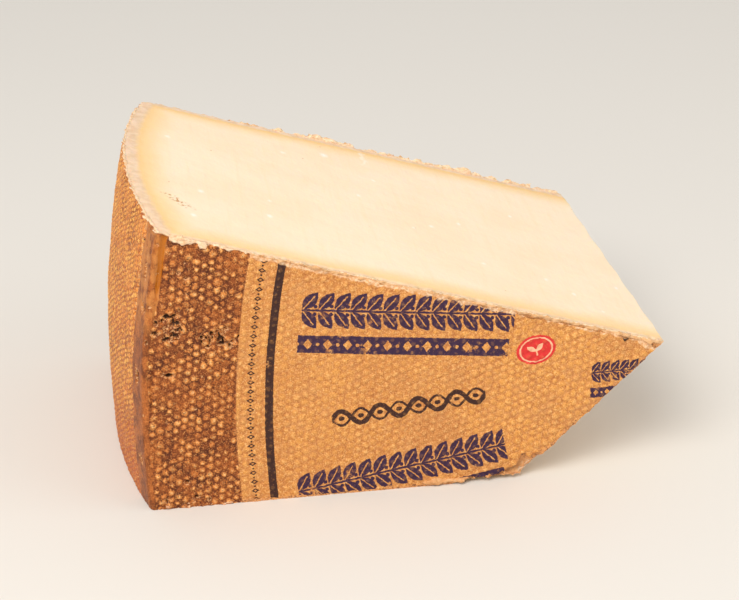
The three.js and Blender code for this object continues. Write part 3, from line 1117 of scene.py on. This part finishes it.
def filmPrintGroup(parts):
    # where each ink lies on the film
    inks = [(n, "value") for n in ("Blue", "Brown", "Red", "Pale")]
    tree, b, source, putOut = newGroup("filmPrint", [("Place", "vector")], inks)
    place = source["Place"]
    deep = b.group(parts["wheelPlace"], Place=place)
    x, _, z = b.parts(place)
    shake = b.shake(place, 1.4, 2.0, 0.5)
    face = b.vector("ADD", b.combine(b.less(x, faceLeft / mm), z), shake)
    blue = 0.0
    for figures, figure in ((branches, parts["leafBranch"]), (bars, parts["diamondBar"])):
        for left, low, tilt, height, length in figures:
            along, up = turnedPlace(b, face, left, low, tilt, height)
            ink = b.group(figure, Along=along, Up=up, Length=length / height)["Ink"]
            blue = b.highest(blue, ink)
    # a braid of a thick and a thin strand, with a bead in each eye
    along, up = turnedPlace(b, face, braid["x"], braid["z"], braid["tilt"], 1.0)
    turn = b.product(along, 2 * math.pi / braid["wave"])
    bend = b.product(b.math("SINE", turn), braid["swing"])
    slope = b.product(b.math("COSINE", turn), braid["swing"] * 2 * math.pi / braid["wave"])
    stretch = b.math("SQRT", b.sum(b.product(slope, slope), 1.0))
    thick = b.less(b.math("DIVIDE", b.size(b.less(up, bend)), stretch), braid["thick"])
    thin = b.less(b.math("DIVIDE", b.size(b.sum(up, bend)), stretch), braid["thin"])
    eye = b.product(b.less(b.math("FRACT", b.product(along, 2 / braid["wave"])), 0.5), braid["wave"] / 2)
    bead = b.reach(b.product(eye, 0.8), up)
    braided = b.highest(b.fade(thick, 0.06, -0.06), b.fade(thin, 0.06, -0.06), b.fade(bead, 0.74, 0.62))
    braided = b.product(braided, b.strip(along, 0.0, braid["length"], 0.1))
    # the arc stripe and the row of small marks beside it
    fromRim = b.less(deep["Heel"], b.product(b.parts(shake)[0], 0.6))
    band = b.strip(fromRim, stripe["outer"], stripe["inner"], 0.06)
    tick = b.less(b.math("FRACT", b.product(deep["Along"], 1 / stripe["marksPitch"])), 0.5)
    rise = b.size(b.less(deep["Heel"], stripe["marksAt"]))
    side = b.size(b.product(tick, stripe["marksPitch"]))
    lozenge = b.sum(b.product(side, 1 / 0.8), b.product(rise, 1 / 1.15))
    mark = b.product(b.fade(lozenge, 1.08, 0.92), b.fade(lozenge, 0.36, 0.5))
    pip = b.reach(b.less(side, stripe["marksPitch"] / 2), rise)
    mark = b.highest(mark, b.fade(pip, 0.36, 0.26))
    # an oval seal with a sprout in it
    sx, sz = turnedPlace(b, face, seal["x"], seal["z"], seal["tilt"], 1.0)
    oval = b.reach(b.product(sx, 1 / seal["halfLength"]), b.product(sz, 1 / seal["halfHeight"]))
    red = b.fade(oval, 1.02, 0.98)
    ring = b.product(b.fade(oval, 0.76, 0.79), b.fade(oval, 0.87, 0.84))
    fold = b.size(sx)
    lx, lz = b.less(fold, 1.15), b.less(sz, 0.45)
    lengthwise = b.sum(b.product(lx, 0.77), b.product(lz, 0.64))
    crosswise = b.size(b.less(b.product(lz, 0.77), b.product(lx, 0.64)))
    sprout = b.sum(b.product(crosswise, 1 / 0.7), b.product(lengthwise, lengthwise, 1 / 1.5 ** 2))
    stalk = b.product(b.fade(fold, 0.24, 0.16), b.strip(sz, -1.9, 0.0, 0.06))
    putOut(Blue=blue, Brown=b.highest(braided, b.highest(band, mark)), Red=red,
           Pale=b.highest(ring, b.fade(sprout, 1.06, 0.9), stalk))
    return tree


filmTones = {
    "base": shade(209, 139, 66), "basePale": shade(224, 155, 74), "towardsTip": shade(233, 163, 76),
    # the valley tones are painted shade between the knobs under the film, and the knob tone is a painted
    # highlight on them
    "dull": shade(190, 128, 74), "valleyShade": shade(188, 118, 58), "valleyShadePale": shade(208, 138, 72),
    "knob": shade(242, 182, 108), "gritDark": shade(158, 90, 36), "gritPale": shade(255, 210, 142),
    "patch": shade(196, 134, 82), "scuff": shade(172, 104, 58),
    "brownInk": shade(54, 20, 10), "blueInk": shade(50, 20, 56), "redInk": shade(214, 42, 40),
    "onRed": shade(244, 186, 148), "nick": shade(62, 38, 18),
    "dust": shade(224, 172, 124), "dustPale": shade(248, 214, 176),
}
nickPlace = (134.4, 40.4, 0.0)    # from the face's left edge and up, mm


def filmGroup(parts):
    # the tan film over the rind, with the knobs showing through and the inks on it
    tone = filmTones
    inputs = [("Place", "vector"), ("Mat", "vector")]
    tree, b, source, putOut = newGroup("filmSkin", inputs, skinOutputs)
    place = source["Place"]
    x, _, z = b.parts(place)
    deep = b.group(parts["wheelPlace"], Place=place)
    frayed = b.vector("ADD", source["Mat"], b.shake(place, 1 / 1.2, 2.0, 0.26))
    knobs = b.group(parts["matKnobs"], Place=frayed, Blur=0.6)
    base = b.mix(b.blot(place, 12.0, 0.34, 0.66, 4.0), tone["base"], tone["basePale"])
    base = b.tint(base, tone["towardsTip"], b.fade(x, 5.0, 40.0), 0.6)
    base = b.tint(base, tone["dull"], b.blot(place, 20.0, 0.5, 0.68, 3.0), 0.5)
    # painted shade in the valleys between the knobs under the film
    valleyShade = b.mix(b.blot(place, 2.6, 0.34, 0.66, 3.0), tone["valleyShade"], tone["valleyShadePale"])
    rounded = b.sum(knobs["Near"], b.sway(place, 0.9, 0.35))
    color = b.mix(b.fade(rounded, 0.60, 0.14), valleyShade, base)
    # painted highlight on the knob tops
    color = b.tint(color, tone["knob"], b.fade(rounded, 0.34, 0.04),
                   b.fade(knobs["Chance"], 0.2, 1.0), 0.55)
    grit = b.noise(place, 0.42, 4.0, 0.7)
    color = b.tint(color, tone["gritDark"], b.fade(grit, 0.51, 0.66), 0.75)
    color = b.tint(color, tone["gritPale"], b.fade(grit, 0.48, 0.34), 0.65)
    color = b.tint(color, tone["patch"], b.blot(place, 6.0, 0.5, 0.66, 3.0), 0.3)
    scuff = b.product(b.blot(place, 1.4, 0.6, 0.74, 4.0), b.blot(place, 11.0, 0.5, 0.62))
    color = b.tint(color, tone["scuff"], scuff, 0.35)
    inks = b.group(parts["filmPrint"], Place=place)
    # ink thins out over the knobs and in small worn spots
    mottle = b.noise(place, 0.55, 3.0, 0.65)
    keep = b.sum(1.0, b.product(b.fade(mottle, 0.58, 0.74), -0.4))
    worn = b.product(b.blot(place, 5.0, 0.6, 0.68, 4.0), b.blot(place, 0.8, 0.42, 0.56))
    keep = b.product(keep, b.inverse(b.product(worn, 0.7)))
    keep = b.less(keep, b.product(b.fade(knobs["Near"], 0.3, 0.1), 0.12))
    color = b.tint(color, tone["brownInk"], inks["Brown"], keep)
    color = b.tint(color, tone["blueInk"], inks["Blue"], keep)
    color = b.tint(color, tone["redInk"], inks["Red"], keep)
    color = b.tint(color, tone["onRed"], inks["Red"], inks["Pale"], keep)
    # a dark nick, and pale crumbs rubbed off along the cuts
    onFace = b.less(x, faceLeft / mm)
    nick = b.vector("DISTANCE", b.combine(onFace, z), nickPlace, output=1)
    color = b.mix(b.fade(b.sum(nick, b.sway(place, 0.8, 1.2, 2.0)), 0.95, 0.6), color, tone["nick"])
    nearTip = b.product(b.fade(onFace, 136.0, 143.0), 2.2)
    fromCut = b.less(deep["Upper"], nearTip)
    rubbed = b.fade(b.less(fromCut, b.product(b.noise(place, 2.4, 4.0), 3.2)), 0.2, -0.3)
    dust = b.mix(b.blot(place, 0.7, 0.4, 0.64, 3.0), tone["dust"], tone["dustPale"])
    color = b.tint(color, dust, rubbed, 0.8)
    height = b.sum(b.product(knobs["Knob"], 0.12), b.product(b.noise(place, 0.5, 4.0, 0.6), 0.07),
                   b.product(b.noise(place, 3.0, 3.0), 0.12))
    rough = b.sum(0.42, b.product(b.noise(place, 1.6, 3.0), 0.2), b.product(rubbed, 0.2))
    putOut(Color=color, Height=height, Roughness=rough)
    return tree


bumpDepth = 1 * mm    # of one unit of a skin's Height


def finishMaterial(name, group, inputs, **shaderValues):
    material = bpy.data.materials.new(name)
    material.use_nodes = True
    tree = material.node_tree
    shader = tree.nodes["Principled BSDF"]
    b = NodeBench(tree)
    coordinates = b.add("TexCoord", output=3)
    sockets = {"Place": b.add("VectorMath", {0: coordinates, "Scale": 1 / mm}, operation="SCALE")}
    for label, attribute in inputs.items():
        sockets[label] = b.add("Attribute", output=1, attribute_name=attribute)
    skinOut = b.group(group, **sockets)
    bump = b.add("Bump", {"Height": skinOut["Height"], "Distance": bumpDepth, "Strength": 1.0})
    tree.links.new(skinOut["Color"], shader.inputs["Base Color"])
    tree.links.new(skinOut["Roughness"], shader.inputs["Roughness"])
    tree.links.new(bump, shader.inputs["Normal"])
    for key, value in shaderValues.items():
        shader.inputs[key.replace("_", " ")].default_value = value
    return material


def makeMaterials():
    parts = {"wheelPlace": wheelPlaceGroup(), "matKnobs": matKnobsGroup(), "brokenEdge": brokenGroup(),
             "leafBranch": leafBranchGroup(), "diamondBar": diamondBarGroup()}
    parts["filmPrint"] = filmPrintGroup(parts)
    # each group's inputs are named with the mesh attributes that feed them
    rind = finishMaterial("rind", rindGroup(parts), {"Mat": "matPlace", "Marks": "marks", "Sides": "sides"},
                          Specular_IOR_Level=0.3)
    paste = finishMaterial("paste", pasteGroup(parts), {"Marks": "marks"}, Specular_IOR_Level=0.4,
                           Subsurface_Weight=0.22, Subsurface_Radius=(1.0, 0.55, 0.25),
                           Subsurface_Scale=3 * mm)
    label = finishMaterial("film", filmGroup(parts), {"Mat": "matPlace"}, Specular_IOR_Level=0.42)
    return rind, paste, label


def assignCheeseMaterials(cheese, rind, paste):
    cheese.data.materials.append(rind)
    cheese.data.materials.append(paste)
    cutSide = readFromPoints(cheese, "sides")[:, 0]
    for face in cheese.data.polygons:
        face.material_index = int(np.mean([cutSide[i] for i in face.vertices]) > 0.5)


cameraView = {    # angles in degrees
    "aim": (-3.04 * mm, -32.64 * mm, 48.8 * mm),
    "azimuth": -5.787, "elevation": 23.485, "roll": -2.416,
    "distance": 741.4 * mm, "lens": 128.6,
}


def addCamera():
    bpy.ops.object.camera_add()
    camera = bpy.context.object
    azimuth, elevation = math.radians(cameraView["azimuth"]), math.radians(cameraView["elevation"])
    back = Vector((math.sin(azimuth) * math.cos(elevation), -math.cos(azimuth) * math.cos(elevation),
                   math.sin(elevation)))
    camera.location = Vector(cameraView["aim"]) + back * cameraView["distance"]
    level = (-back).to_track_quat("-Z", "Y")
    camera.rotation_mode = "QUATERNION"
    camera.rotation_quaternion = level @ Quaternion((0, 0, 1), math.radians(cameraView["roll"]))
    camera.data.lens = cameraView["lens"]
    camera.data.sensor_width = 36
    camera.data.clip_end = 20
    bpy.context.scene.camera = camera


studio = {
    "lampsAim": (0, 0, 40 * mm),
    "floor": shade(226, 223, 218), "air": (1.0, 0.98, 0.95, 1.0), "airPower": 0.62,
    "lamps": {    # place, size, power, colour
        "key": ((-0.45, -0.75, 1.0), 0.8, 13.2, (1.0, 0.95, 0.88)),
        "fill": ((0.9, -0.5, 0.7), 0.9, 2, (1.0, 0.97, 0.94)),
    },
}


def setStudio():
    bpy.ops.mesh.primitive_plane_add(size=8)
    floor = bpy.context.object
    floor.name = "floor"
    material = bpy.data.materials.new("paleFloor")
    material.use_nodes = True
    shader = material.node_tree.nodes["Principled BSDF"]
    shader.inputs["Base Color"].default_value = studio["floor"]
    shader.inputs["Roughness"].default_value = 0.7
    floor.data.materials.append(material)
    world = bpy.data.worlds.new("studio")
    bpy.context.scene.world = world
    world.use_nodes = True
    background = world.node_tree.nodes["Background"]
    background.inputs["Color"].default_value = studio["air"]
    background.inputs["Strength"].default_value = studio["airPower"]
    for name, (place, size, power, tint) in studio["lamps"].items():
        bpy.ops.object.light_add(type="AREA", location=place)
        lamp = bpy.context.object
        lamp.name = name
        lamp.data.size = size
        lamp.data.energy = power
        lamp.data.color = tint
        back = Vector(place) - Vector(studio["lampsAim"])
        lamp.rotation_euler = back.to_track_quat("Z", "Y").to_euler()
    bpy.context.scene.view_settings.view_transform = "Standard"


addCamera()
cheese = makeCheese()
label = makeLabel()
rindMaterial, pasteMaterial, filmMaterial = makeMaterials()
assignCheeseMaterials(cheese, rindMaterial, pasteMaterial)
label.data.materials.append(filmMaterial)
print("materials: rind, paste and film")
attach(cheese, "root")
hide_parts("cheese_wedge")
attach(label, "root")
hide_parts("face_label")
print("pieces placed")
setStudio()
print("studio set")
